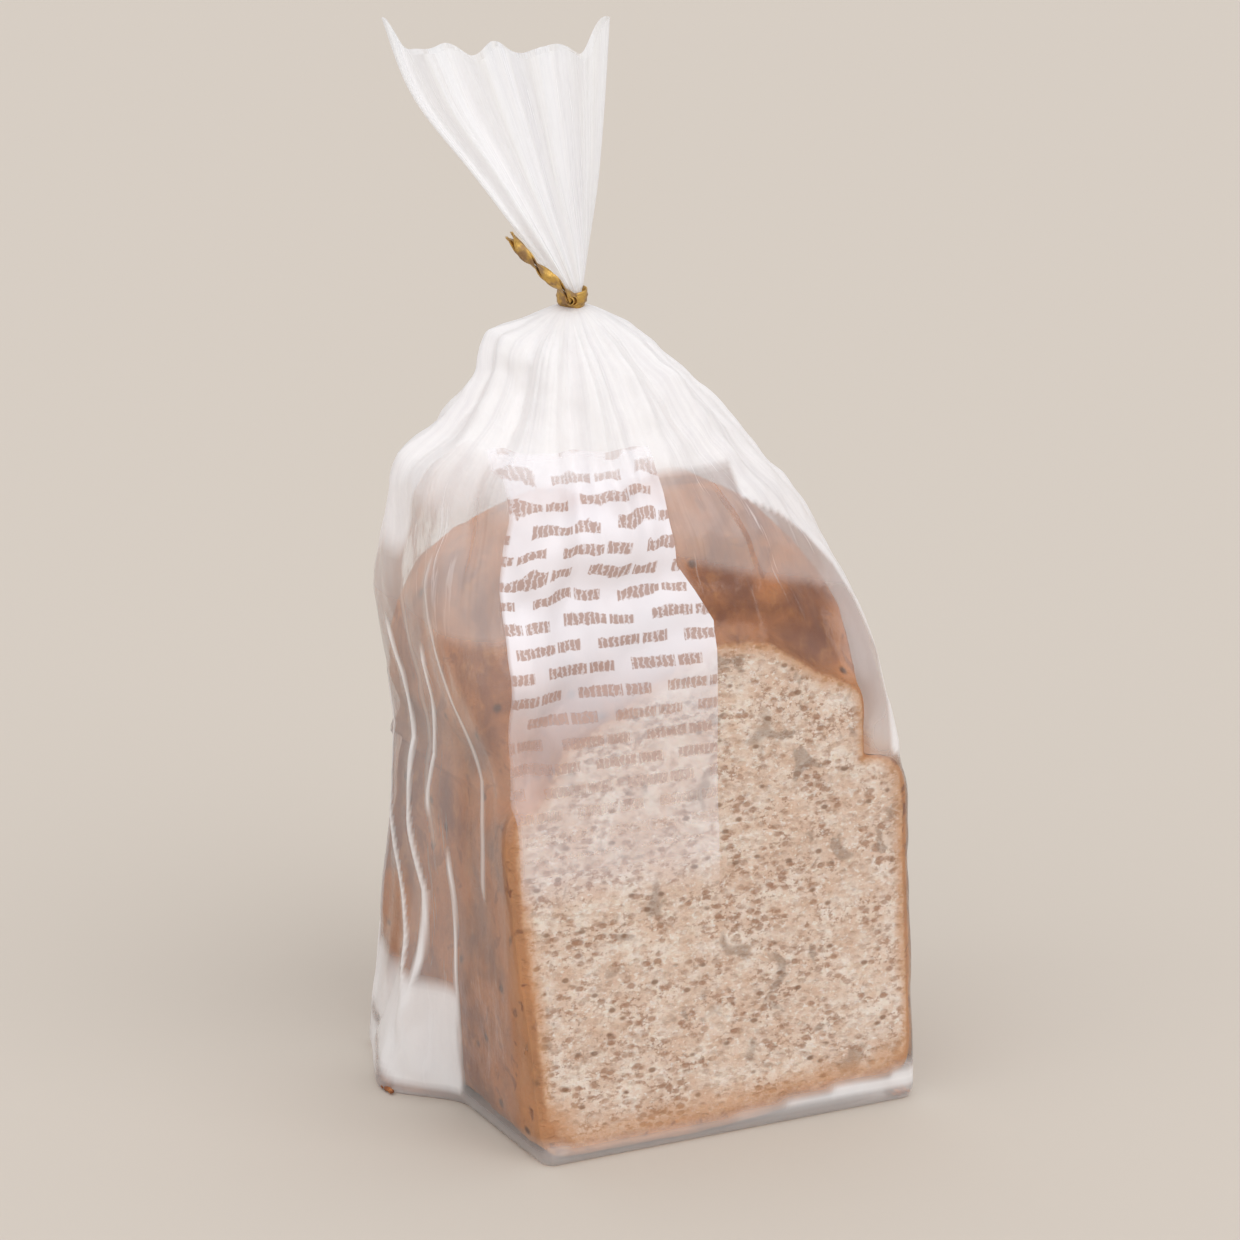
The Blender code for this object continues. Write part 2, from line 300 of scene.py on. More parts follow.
class Bench:
    """A material being put together."""

    def __init__(self, name):
        self.material = bpy.data.materials.new(name)
        self.material.use_nodes = True
        self.tree = self.material.node_tree
        self.tree.nodes.clear()
        self.end = self.tree.nodes.new("ShaderNodeOutputMaterial")

    def add(self, kind, settings=None, values=None, out=0):
        node = self.tree.nodes.new(kind)
        for key, value in (settings or {}).items():
            if key == "stops":
                self.stops(node.color_ramp, value)
            else:
                setattr(node, key, value)
        for key, value in (values or {}).items():
            socket = node.inputs[key]
            if isinstance(value, Wire):
                self.tree.links.new(value.socket, socket)
            else:
                socket.default_value = value
        return Wire(self, node.outputs[out])

    @staticmethod
    def stops(ramp, stops):
        while len(ramp.elements) < len(stops):
            ramp.elements.new(1.0)
        for element, (place_, colour) in zip(ramp.elements, stops):
            element.position, element.color = place_, colour

    def kept(self, name):
        return self.add("ShaderNodeAttribute", {"attribute_name": name}, out="Fac")

    def object_mm(self, stretch=(1, 1, 1), turn=(0, 0, 0)):
        """Object coordinates in millimetres, scaled along each axis by stretch."""
        at = self.add("ShaderNodeTexCoord", out="Object")
        return self.add("ShaderNodeMapping", {"vector_type": "POINT"},
                        {"Vector": at, "Rotation": turn, "Scale": [1000 * s for s in stretch]})

    def noise(self, at, scale, detail=3.0, roughness=0.55, distortion=0.0):
        return self.add("ShaderNodeTexNoise", {"noise_dimensions": "3D"},
                        {"Vector": at, "Scale": scale, "Detail": detail,
                         "Roughness": roughness, "Distortion": distortion}, out="Fac")

    def cells(self, at, scale, randomness=1.0, feature="F1", out="Distance"):
        return self.add("ShaderNodeTexVoronoi", {"feature": feature},
                        {"Vector": at, "Scale": scale, "Randomness": randomness}, out=out)

    def blend(self, share, a, b, kind="MIX"):
        """Colour a turning into colour b by share."""
        node = self.tree.nodes.new("ShaderNodeMix")
        node.data_type, node.blend_type = "RGBA", kind
        for socket, value in ((node.inputs[0], share), (node.inputs[6], a), (node.inputs[7], b)):
            if isinstance(value, Wire):
                self.tree.links.new(value.socket, socket)
            else:
                socket.default_value = value if isinstance(value, float) else rgba(value)
        return Wire(self, node.outputs[2])

    def bump(self, height, strength, distance, normal=None):
        values = {"Height": height, "Strength": strength, "Distance": distance}
        if normal:
            values["Normal"] = normal
        return self.add("ShaderNodeBump", None, values)

    def principled(self, **values):
        names = {"Base_Color": "Base Color"}
        return self.add("ShaderNodeBsdfPrincipled", None,
                        {names.get(k, k.replace("_", " ")): v for k, v in values.items()})

    def done(self, shader):
        self.tree.links.new(shader.socket, self.end.inputs["Surface"])
        return self.material


def rgba(colour):
    return (*tuple(colour)[:3], 1.0)


# --- the loaf -----------------------------------------------------------------
CUT_TOP = ((-63, 90), (-58.8, 97), (-52, 107), (-45.6, 118), (-36, 122.5), (-20, 131.5), (-6, 138),
           (6.8, 142.4), (15.5, 141.8), (22.9, 140.2), (31.6, 134.9), (38, 130.2), (44.7, 127.4),
           (50.3, 125), (53.4, 121), (56, 112), (70, 95))
CROWN_TOP = ((-66, 112), (-62, 135), (-57, 149), (-50, 160), (-40, 168), (-26, 173.5),
             (-12, 177), (4, 179.5), (16, 180), (27, 174), (38, 165), (46, 156), (52, 147),
             (57, 138), (60, 130), (64, 112))


def loaf_inside(x, z, s, settings):
    """Below 1 inside the loaf's outline at share s from the cut face to the back."""
    left = settings.left - settings.flare * smooth(z / 110.0) * (1.0 - s) ** 1.5
    left = left - 3.4 * bell(z, 42.0, 32.0) * s
    right = settings.right
    cx, hw = (left + right) / 2, (right - left) / 2
    body_top = 103.0
    floor = settings.lift * smooth((x + 10.0) / 70.0) * (1.0 - s) ** 2 + 0.9
    hz = (body_top - floor) / 2
    body = np.abs((x - cx) / hw) ** 14 + np.abs((z - floor - hz) / hz) ** 12
    grow = smooth(s / 0.30) ** 0.75
    top = lerp(np.interp(x, *zip(*CUT_TOP)), np.interp(x, *zip(*CROWN_TOP)), grow)
    top = top - 8.0 * smooth((s - 0.6) / 0.4) ** 1.5
    middle = lerp(-1.8, -0.9, grow)
    half = lerp(55.2, 60.8, grow) - 2.0 * smooth((s - 0.7) / 0.3)
    half = half - 4.0 * grow * bell(z, 108.0, 7.0)
    k = 12.0
    sides = 1.0 + (np.abs(x - middle) - half) / 14.0
    crown = np.log(np.exp(k * ((z - top) / 22.0)) + np.exp(k * (sides - 1.0))
                   + np.exp(k * ((99.0 - z) / 22.0))) / k + 1.0
    body, crown = np.minimum(body, 4.0), np.minimum(crown, 4.0)
    return -np.log(np.exp(-k * (body - 1)) + np.exp(-k * (crown - 1))) / k + 1.0


def loaf_outline(angles, s, settings):
    """Points (x, z) of the outline at share s, by bisection along rays."""
    cx, cz = LOAF_MIDDLE
    dx, dz = np.cos(angles), np.sin(angles)
    low, high = np.zeros_like(angles), np.full_like(angles, 170.0)
    for _ in range(34):
        middle = (low + high) / 2
        inside = loaf_inside(cx + dx * middle, cz + dz * middle, s, settings) < 1.0
        low, high = np.where(inside, middle, low), np.where(inside, high, middle)
    return cx + dx * low, cz + dz * low


def ray_angles(count):
    """Directions round the loaf, closer together where the outline is far away."""
    a = np.linspace(0, 2 * np.pi, count, endpoint=False)
    return a - np.pi / 2 + 0.10 * np.sin(2 * a)


def loaf_points(settings):
    """Rows of points from the middle of the cut face out, along the crust, to the back."""
    count = settings.around
    angles = ray_angles(count)
    x0, z0 = loaf_outline(angles, 0.0, settings)
    centre = np.array(LOAF_MIDDLE)
    rows, kinds, rims = [], [], []
    for k in range(settings.crumb_rings):
        share = (k / settings.crumb_rings) ** 0.92
        x, z = lerp(centre[0], x0, share), lerp(centre[1], z0, share)
        y = settings.cut_y + settings.lean * z
        edge = np.hypot(x0 - x, z0 - z)
        y = y + 1.6 * smooth(1.0 - edge / 3.0) ** 2
        rows.append(np.stack([x, y, z], -1))
        kinds.append(np.zeros(count))
        thick = lerp(0.42, 1.0, smooth((z0 - 7.0) / 14.0))
        thick = thick * lerp(0.85, 1.0, smooth((x0 + 54) / 8.0))
        rims.append(edge * thick)
    for k in range(settings.crust_rings + 1):
        s = (k / settings.crust_rings)
        s = s ** 1.15
        x, z = loaf_outline(angles, s, settings)
        y_front = settings.cut_y + settings.lean * z + 1.6
        y_back = settings.back_y - 0.03 * z
        # the crown bulges forward over the cut face and back over the end
        y_front = y_front - settings.bulge * smooth((z - 128.0) / 26.0) * smooth(s / 0.1)
        y = lerp(y_front, y_back, s)
        rows.append(np.stack([x, y, z], -1))
        kinds.append(np.ones(count))
        rims.append(np.zeros(count))
    last = rows[-1]
    middle = np.array((3.0, settings.back_y - 2.0, 80.0))
    for k in range(1, 27):
        t = k / 26
        reach = 1.0 - t
        ring = middle + (last - middle) * reach
        out = settings.round_back * (1 - (1 - np.clip(t * 3.2, 0, 1)) ** 2) ** 0.5
        ring[:, 1] = last[:, 1] * (1 - t) + middle[1] * t + out
        rows.append(ring)
        kinds.append(np.ones(count))
        rims.append(np.zeros(count))
    return np.array(rows), np.array(kinds), np.array(rims)


def loaf_normals(points):
    """Outward normals of the rows of points."""
    along = np.gradient(points, axis=0)
    around = (np.roll(points, -1, axis=1) - np.roll(points, 1, axis=1)) / 2
    n = np.cross(along, around)
    length = np.linalg.norm(n, axis=-1, keepdims=True)
    n = n / np.maximum(length, 1e-9)
    return n


class BREAD_OT_loaf(bpy.types.Operator):
    """Half loaf: rough crust, torn break under the crown and open crumb on the cut face"""
    bl_idname = "bread.loaf"
    bl_label = "Loaf"

    def execute(self, context):
        settings = context.scene.bread_loaf
        points, crust, rim = loaf_points(settings)
        normals = loaf_normals(points)
        if (normals[5, :, 1].mean()) > 0:
            normals = -normals
        rows, columns = points.shape[:2]
        lift = np.zeros((rows, columns))
        pore = np.zeros((rows, columns))
        torn = np.zeros((rows, columns))
        for i in range(rows):
            for j in range(columns):
                x, y, z = points[i, j]
                if crust[i, j]:
                    big = rough(x / 26, y / 26, z / 26, 3, 4.0)
                    fine = rough(x / 5.0, y / 5.0, z / 5.0, 3, 9.0)
                    h = 0.85 * big + 0.28 * fine
                    side = abs(x - 5.0) / 60.0
                    t = bell(z, 106.0 + 5 * rough(y / 20, x / 30, 0, 2, 2.0), 7.0)
                    t *= float(smooth((side - 0.72) / 0.15))
                    if x < 0:
                        t *= 0.15
                    torn[i, j] = t
                    h -= t * (1.2 + 1.1 * rough(x / 3, y / 9, z / 2.2, 3, 6.0))
                    lift[i, j] = h
                else:
                    u, v = x + 2 * rough(x / 14, 0, z / 14, 2, 1.0), z
                    holes = noise.voronoi(Vector((u / 3.1, 2.0, v / 2.3)))[0][0]
                    small = noise.voronoi(Vector((u / 1.7, 7.0, v / 1.25)))[0][0]
                    deep = float(smooth(1.0 - holes / 0.42))
                    deep *= 0.6 + 0.4 * rough(x / 9, 0, z / 9, 2, 3.0)
                    deep = max(0.0, deep) * 0.75 + 0.38 * float(smooth(1.0 - small / 0.42))
                    edge = float(smooth(rim[i, j] / 2.5))
                    # painted shade: how dark each pore's hollow is drawn
                    pore[i, j] = deep * edge
                    h = -0.85 * deep + 0.35 * rough(x / 12, 1, z / 12, 3, 5.0)
                    lift[i, j] = h * (0.15 + 0.85 * edge)
        seam = settings.crumb_rings
        lift[seam - 1] = lift[seam] = 0.5 * (lift[seam - 1] + lift[seam])
        points = points + normals * lift[..., None]
        points[..., 2] = np.maximum(points[..., 2], 0.7)
        points[0] = points[0].mean(axis=0)
        points[-1] = points[-1].mean(axis=0)
        loaf = sheet_from_grid("half_loaf", points, True,
                               [crust_finish(context.scene.bread_crust)])
        give_round(loaf, crust=crust, rim=rim, pore=pore, torn=torn)
        weld(loaf, recalculate=True)
        finish_piece(loaf, "film")
        return {"FINISHED"}


def crust_finish(look):
    """Baked crust and open wholemeal crumb in one finish, told apart by kept numbers."""
    b = Bench("baked_bread")
    at = b.object_mm()
    crust, rim, pore, torn = (b.kept(n) for n in ("crust", "rim", "pore", "torn"))

    # crumb: cream ground, tan clouds, brown flecks lying flat, grey seed patches, painted sheen on
    # cell walls and painted shade in the pores
    flat = b.object_mm((0.62, 1.0, 1.0))
    cloud = b.noise(at, 0.13, 3.0).ramp(0.36, 0.64)
    mottle = b.noise(flat, 0.36, 4.0, 0.72).ramp(0.42, 0.62)
    fleck = b.noise(flat, 0.75, 3.0, 0.7).ramp(0.50, 0.60)
    speck = b.cells(flat, 0.42).ramp(0.22, 0.46, 1.0, 0.0)
    # painted sheen: paler patches standing for light on glossy cell walls
    light = b.noise(flat, 0.95, 2.0, 0.6).ramp(0.56, 0.68)
    patchy = b.noise(at, 0.085, 2.0, 0.5, 0.8).ramp(0.62, 0.70)
    bran = b.cells(flat, 0.20, 1.0).ramp(0.08, 0.20, 1.0, 0.0)
    crumb = b.blend(cloud * 0.6, look.crumb, look.crumb_tan)
    cluster = b.noise(flat, 0.17, 3.0, 0.6).ramp(0.40, 0.60, 0.25, 1.0)
    crumb = b.blend(mottle * 0.55, crumb, look.crumb_tan)
    crumb = b.blend(fleck * cluster * 0.72, crumb, look.fleck)
    crumb = b.blend(light * 0.8, crumb, look.crumb_sheen)
    crumb = b.blend(speck * cluster * 0.72, crumb, look.fleck)
    crumb = b.blend(patchy * 0.55, crumb, look.seed)
    crumb = b.blend(bran * 0.8, crumb, look.bran)
    # painted shade down in the pores
    crumb = b.blend((pore * 0.75).least(1.0), crumb, look.pore)
    wander = b.noise(at, 0.16, 2.0) * 2.0 + b.noise(at, 0.9, 2.0) * 1.2
    crusty = (rim - wander).ramp(-0.4, 1.2, 1.0, 0.0)
    warm = (rim - wander).ramp(0.0, 5.0, 1.0, 0.0)
    crumb = b.blend(warm * 0.72, crumb, look.rim)

    # crust: orange brown with darker bakes, paler scuffs and painted shade in fine pits
    bake = b.noise(at, 0.045, 4.0, 0.6, 0.4).ramp(0.35, 0.68)
    scuff = b.noise(at, 0.16, 4.0, 0.65).ramp(0.52, 0.70)
    grain = b.noise(at, 1.1, 3.0, 0.6).ramp(0.35, 0.70)
    pit_shade_spots = b.cells(at, 0.085, 1.0).ramp(0.05, 0.17, 1.0, 0.0)
    scorch = b.noise(at, 0.13, 3.0, 0.6, 0.6).ramp(0.57, 0.66)
    shell = b.blend(bake, look.crust, look.crust_dark)
    shell = b.blend(scuff * 0.55, shell, look.crust_pale)
    shell = b.blend(scorch * 0.6, shell, look.crust_dark)
    shell = b.blend(grain * 0.28, shell, look.crust_dark)
    front = b.add("ShaderNodeSeparateXYZ", None, {0: at}, out="Y")
    shell = b.blend(front.ramp(-44.0, -30.0, 0.5, 0.0), shell, look.rim)
    shell = b.blend(front.ramp(-42.0, -26.0, 0.8, 0.0) * scorch, shell, look.crust_dark)
    # painted shade: near-black spots where small pits would hold shade
    shell = b.blend(pit_shade_spots * 0.8, shell, look.pit_shade)
    shell = b.blend((torn * 1.1).least(1.0) * 0.85, shell, look.crumb_tan)
    skin = crust.most(crusty)
    colour = b.blend(skin, crumb, shell)

    rough_crumb = b.noise(flat, 1.3, 4.0, 0.7)
    rough_crust = b.noise(at, 0.55, 5.0, 0.65) + b.noise(at, 2.6, 2.0, 0.5) * 0.35
    first = b.bump(rough_crumb * (1 - crust) + speck * (1 - crust) * -0.5, 0.55, 0.0012)
    second = b.bump(rough_crust * crust + torn * b.noise(at, 0.8, 4.0, 0.7) * 2.0,
                    0.5, 0.0009, first)
    b.done(b.principled(Base_Color=colour, Roughness=skin.ramp(0, 1, 0.93, 0.62), Normal=second,
                        Subsurface_Weight=0.12, Subsurface_Scale=0.002,
                        Subsurface_Radius=(1.0, 0.55, 0.3), Specular_IOR_Level=0.3))
    return b.material


# --- the film -------------------------------------------------------------------
def fold_rays(count, seed):
    """Places, widths, reaches and depths of the folds that run down from the neck."""
    maker = np.random.default_rng(seed)
    places = (np.arange(count) + maker.uniform(-0.38, 0.38, count)) / count
    return (places, maker.uniform(0.007, 0.020, count), maker.uniform(0.15, 0.75, count),
            maker.uniform(0.5, 1.0, count) * np.where(np.arange(count) % 2, 1.0, -1.0))


def wrapped(d):
    return (d + 0.5) % 1.0 - 0.5


def film_folds(f, z, t, settings):
    """Displacement along the outward normal, and for each point the strength of the painted
    highlight line along a crease.
    """
    lift, highlight_crease = np.zeros_like(z), np.zeros_like(z)
    near = smooth((t - 0.05) / 0.7)
    size = np.interp(t, (0, 0.55, 0.8, 0.93, 1.0), (0.25, 1.0, 1.35, 0.9, 0.12))
    for place_, width, reach, depth in zip(*fold_rays(settings.folds, 11)):
        bend = place_ + 0.010 * np.sin(5.0 * t + 40 * place_)
        shape = bell(wrapped(f - bend), 0.0, width * (0.7 + 0.6 * t))
        run = smooth((t - reach * 0.8) / 0.35)
        lift += settings.fold_depth * depth * shape * run * size
        # painted highlight: a thin line along one flank of each gather, later drawn as whiter film
        highlight_crease += np.abs(depth) * bell(wrapped(f - bend - width * 0.55), 0.0, width * 0.35) * run
    for place_, width, reach, depth in zip(*fold_rays(settings.folds * 2, 23)):
        bend = place_ + 0.004 * np.sin(9.0 * t + 70 * place_)
        shape = bell(wrapped(f - bend), 0.0, width * 0.35)
        lift += 0.16 * settings.fold_depth * depth * shape * smooth((t - reach) / 0.3) * size
    return lift, highlight_crease * near


def left_creases():
    """Creases of the loose left wall: (height, y) stations, half width, height of ridge, strength
    of its painted highlight line.
    """
    return (
        (((141, 27), (118, 24), (86, 19.5), (62, 10), (24, 12)), 1.5, 2.0, 1.0),
        (((120, 40), (85, 35), (62, 27), (27, 14), (8, 12)), 1.2, 1.6, 1.0),
        (((140, 1), (134, 2.5), (105, 6), (88, 8)), 1.6, 1.4, 0.9),
        (((80, -3), (40, -3), (20, -3.6), (2, -4)), 0.9, 1.2, 0.8),
        (((110, 44), (80, 45), (50, 46), (12, 47)), 1.3, 1.5, 0.9),
        (((170, -6), (150, -9), (125, -16), (100, -22), (70, -24)), 1.5, 0.8, 0.5),
        (((176, 8), (150, 14), (130, 15), (100, 12), (75, 3)), 2.4, -1.4, 0.3),
        (((100, 30), (80, 27), (60, 18), (40, 19)), 2.2, -1.2, 0.2),
        (((40, 8), (22, 12), (3, 5)), 1.6, 3.4, 0.0),
        (((40, 26), (24, 30), (9, 40)), 1.6, -3.2, 0.0),
    )


def wall_creases(y, z, nx):
    lift, highlight_crease = np.zeros_like(z), np.zeros_like(z)
    left = smooth((-nx - 0.3) / 0.4)
    for stations, width, height, painted_highlight in left_creases():
        zs, ys = np.array(stations)[::-1].T
        line = np.interp(z, zs, ys)
        ends = smooth((z - zs[0] + 4) / 10) * smooth((zs[-1] + 4 - z) / 12)
        lift += 0.6 * height * bell(y, line, width * 2.0) * ends * left
        # painted highlight along the crease line, partly the film's own whitening at the fold
        highlight_crease += painted_highlight * bell(y, line, width * 1.05) * ends * left
    return lift, highlight_crease


class BREAD_OT_film(bpy.types.Operator):
    """Clear bag: base, walls lying on the loaf, folds to the neck and the fan above"""
    bl_idname = "bread.film"
    bl_label = "Bag film"

    def execute(self, context):
        settings = context.scene.bread_film
        loaf = bpy.data.objects["half_loaf"]
        columns = settings.around
        shares = np.arange(columns) / columns
        shares = shares + 0.010 * np.sin(8 * np.pi * shares)
        heights = np.concatenate([[0.25, 0.8, 1.6, 2.6, 4.0],
                                  np.linspace(5.5, SHOULDER_Z, 66)[:-1],
                                  np.linspace(SHOULDER_Z, 205.0, 74)[:-1],
                                  205.0 + 22.3 * (1 - (1 - np.linspace(0, 1, 40)) ** 1.5)])
        f, z = np.meshgrid(shares, heights)
        x, y, nx, ny, t = bag_form(f, z)
        # the foot lies on the loaf in front and runs out to the fold at the back left
        foot = (BODY_LEFT - BASE_LEFT) * np.clip(1.0 - z / GUSSET_TOP, 0, 1) ** 1.2
        foot = foot * bell(y, GUSSET_MIDDLE, GUSSET_SPREAD) * smooth((-40.0 - x) / 12.0)
        x = x + foot * (1.0 - smooth((y + 5.0) / 26.0))
        # behind that it hangs straight from the crown to the fold at the foot
        x = x - (6.5 * bell(z, 88.0, 26.0) * smooth((-40.0 - x) / 12.0)
                 * smooth((y + 12.0) / 16.0) * smooth((45.0 - y) / 14.0))
        lift, highlight_crease = film_folds(f, z, t, settings)
        wall, highlight_lines = wall_creases(y, z, nx)
        lift = lift + wall
        lift = lift + np.maximum(0.0, -nx) * (5.0 * bell(z, 184, 9) - 2.5 * bell(z, 204, 8)
                                              + 4.0 * bell(z, 219, 5))
        slack = np.array([[rough(a / 21, b / 21, c / 34, 3, 31.0) for a, b, c in zip(*row)]
                          for row in zip(x, y, z)])
        crinkle = np.array([[rough(a / 6, b / 6, c / 15, 2, 47.0) for a, b, c in zip(*row)]
                            for row in zip(x, y, z)])
        lift = lift + slack * (0.9 + 1.3 * smooth((z - 150) / 30)) * smooth(z / 20)
        lift = lift + 0.45 * crinkle * smooth((z - 90) / 60)
        lift = lift * smooth((1.0 - t) * 14)
        inset = np.where(z < 4.0, 1.6 * (1 - np.clip(z / 4.0, 0, 1)) ** 2, 0.0)
        rise = 0.4 * lift * smooth(t * 1.5)
        points = np.stack([x + nx * (lift - inset), y + ny * (lift - inset), z + rise], -1)
        points, behind = lay_on(loaf, points, np.stack([nx, ny, 0 * nx], -1), settings)
        points = np.concatenate([base_rows(points[0], BASE_ROWS), points])
        behind = np.concatenate([np.tile(behind[:1], (BASE_ROWS, 1)), behind])
        highlight_crease = np.concatenate([np.zeros((BASE_ROWS, columns)),
                                 np.clip(highlight_crease * 0.35 + highlight_lines, 0, 1.5)])
        haze, loose = film_haze(points, behind, highlight_crease)
        film = sheet_from_grid("bag_film", points, True, [film_finish(context.scene.bread_film)])
        give_round(film, haze=haze, loose=loose)
        along = np.tile(np.append(shares, shares[0] + 1.0) * GIRTH, (points.shape[0], 1))
        give(film, "round", along)
        weld(film, recalculate=True)
        film.visible_shadow = False
        finish_piece(film, "film", "filled_bag")
        tail = tail_film(settings)
        tail.visible_shadow = False
        finish_piece(tail, "film", "filled_bag")
        return {"FINISHED"}


def lay_on(loaf, points, out, settings):
    """Lets the film cling to the cut face and keeps it clear of the bread.

    Also gives how far behind each point there is bread, in mm.
    """
    tree = BVHTree.FromObject(loaf, bpy.context.evaluated_depsgraph_get())
    behind = np.zeros(points.shape[:2])
    first = points.copy()
    cling_and_push(tree, points, out, settings, True)
    points[:] = first + blurred_sheet(points - first, 5)
    cling_and_push(tree, points, out, settings, False)
    for i in range(points.shape[0]):
        for j in range(points.shape[1]):
            way = Vector(out[i, j])
            inward = Vector((-way.x, -way.y, -0.30))
            if inward.length < 0.5:
                inward = Vector((0, 0, -1))
            hit = tree.ray_cast(place(points[i, j]), inward.normalized())
            behind[i, j] = hit[3] * 1000 if hit[0] is not None else 200.0
    points[..., 2] = np.maximum(points[..., 2], 0.15)
    return points, behind


def blurred_sheet(moves, times):
    return np.stack([blurred(moves[..., k], times) for k in range(3)], -1)


def cling_and_push(tree, points, out, settings, cling):
    """One pass over the film: draws it on to the cut face, then moves it off the bread."""
    for i in range(points.shape[0]):
        for j in range(points.shape[1]):
            way = Vector(out[i, j])
            x, _, z = points[i, j]
            facing = float(smooth((-way.y - 0.55) / 0.3) * smooth((z - 5.0) / 4.0)
                           * smooth((172.0 - z) / 16.0) * smooth((56.0 - x) / 10.0))
            if cling and facing > 0:
                # cling: stands off less where it is nearly touching the front
                near, normal, _, distance = tree.find_nearest(place(points[i, j]))
                distance *= 1000
                if (place(points[i, j]) - near).dot(normal) > 0 and distance < 14.0:
                    close = facing * 0.92 * float(smooth((14.0 - distance) / 6.0))
                    points[i, j] -= np.array(way) * max(0.0, distance - settings.clearance) * close
            for _ in range(4):
                near, normal, _, distance = tree.find_nearest(place(points[i, j]))
                outside = (place(points[i, j]) - near).dot(normal) > 0
                distance *= 1000 if outside else -1000
                if distance >= settings.clearance:
                    break
                push = (way + normal).normalized() if way.dot(normal) > -0.2 else way
                points[i, j] += np.array(push) * min(settings.clearance + 0.1 - distance, 2.0)


def base_rows(rim, count):
    """Flat rows that close the base from the middle out."""
    middle = rim.mean(axis=0)
    rows = [middle + (rim - middle) * (k / count) ** 0.7 for k in range(count)]
    rows = np.array(rows)
    rows[..., 2] = 0.15
    return rows


def film_haze(points, behind, highlight_crease):
    """How milky the film is: clear where it lies on bread, white where air is behind it."""
    x, y, z = points[..., 0], points[..., 1], points[..., 2]
    behind = blurred(behind)
    haze = np.interp(behind, (1.2, 3.0, 6.0, 14.0, 34.0, 60.0, 100.0),
                     (0.02, 0.05, 0.20, 0.30, 0.40, 0.80, 0.96))
    back = smooth((y + 2.0) / 20.0)
    wavy = z + back * (4.0 * np.sin(x / 9.0 + y / 13.0) + 3.0 * np.sin(x / 4.3 - y / 6.1))
    haze = np.maximum(haze, 0.95 * smooth((wavy - lerp(192.0, 152.0, back)) / 16.0))
    left = smooth((-48.0 - x) / 8.0)
    veil = (0.12 + 0.11 * smooth((y + 12.0) / 10.0)) * left * smooth((y + 42.0) / 7.0)
    haze = np.maximum(np.minimum(haze, lerp(1.0, 0.14, left * smooth((160.0 - z) / 16.0))), veil)
    gusset = left * smooth((y + 3.5) / 1.0) * smooth((52 - y) / 6) * smooth((40.0 - z) / 8.0)
    gusset = gusset * (1 - 0.75 * smooth((5.0 - z) / 3.0) * smooth((34.0 - y) / 8.0))
    haze = np.maximum(haze, 0.95 * gusset)
    window = left * bell(y, 33.0, 10.0) * bell(z, 47.0, 15.0)
    haze = haze * (1 - 0.85 * np.clip(window * 1.3, 0, 1))
    diagonal = left * bell(z, 15.0 - 0.36 * (48.0 - y), 2.4) * smooth((y - 12.0) / 8.0)
    haze = haze * (1 - 0.8 * diagonal)
    # crease lines made near-white: painted highlights along the folds, partly the film's own
    # whitening at the fold
    haze = np.maximum(haze, np.clip(highlight_crease * 1.3, 0, 1) * 0.97)
    above = smooth((z - 159.0 + 0.27 * (x - 5.0)) / 5.0) * smooth((x + 20.0) / 16.0) * (1.0 - back)
    haze = np.maximum(haze, 0.30 * above)
    edge = np.interp(z, (96, 104, 112, 130, 146, 156, 165, 172, 179),
                     (70, 58, 58, 59, 53, 47, 39, 30, 16))
    right = smooth((x - edge) / 3.5) * smooth((z - 98.0) / 6.0)
    right = right * lerp(smooth((4.0 - y) / 16.0), 1.0, smooth((wavy - 152.0) / 14.0))
    haze = np.maximum(haze, 0.97 * right)
    foot = smooth((6.5 - z) / 3.5) * (1 - gusset)
    haze = lerp(haze, 0.34, foot)
    high = smooth((z - 150.0) / 24.0)
    loose = 0.22 * left + 0.55 * high + 0.35 * smooth((z - 140.0) / 14.0) * (1 - left)
    front = smooth((-34.0 - y) / 6.0) * smooth((128.0 - z) / 14.0)
    return np.clip(haze, 0.03, 0.97), np.clip(loose, 0, 1) * (1.0 - front * (1.0 - left))


def blurred(values, times=3):
    """Evens out a number kept on the rows round the bag."""
    for _ in range(times):
        values = (np.roll(values, 1, 1) + 2 * values + np.roll(values, -1, 1)) / 4
        inner = (values[:-2] + 2 * values[1:-1] + values[2:]) / 4
        values = np.concatenate([values[:1], inner, values[-1:]])
    return values


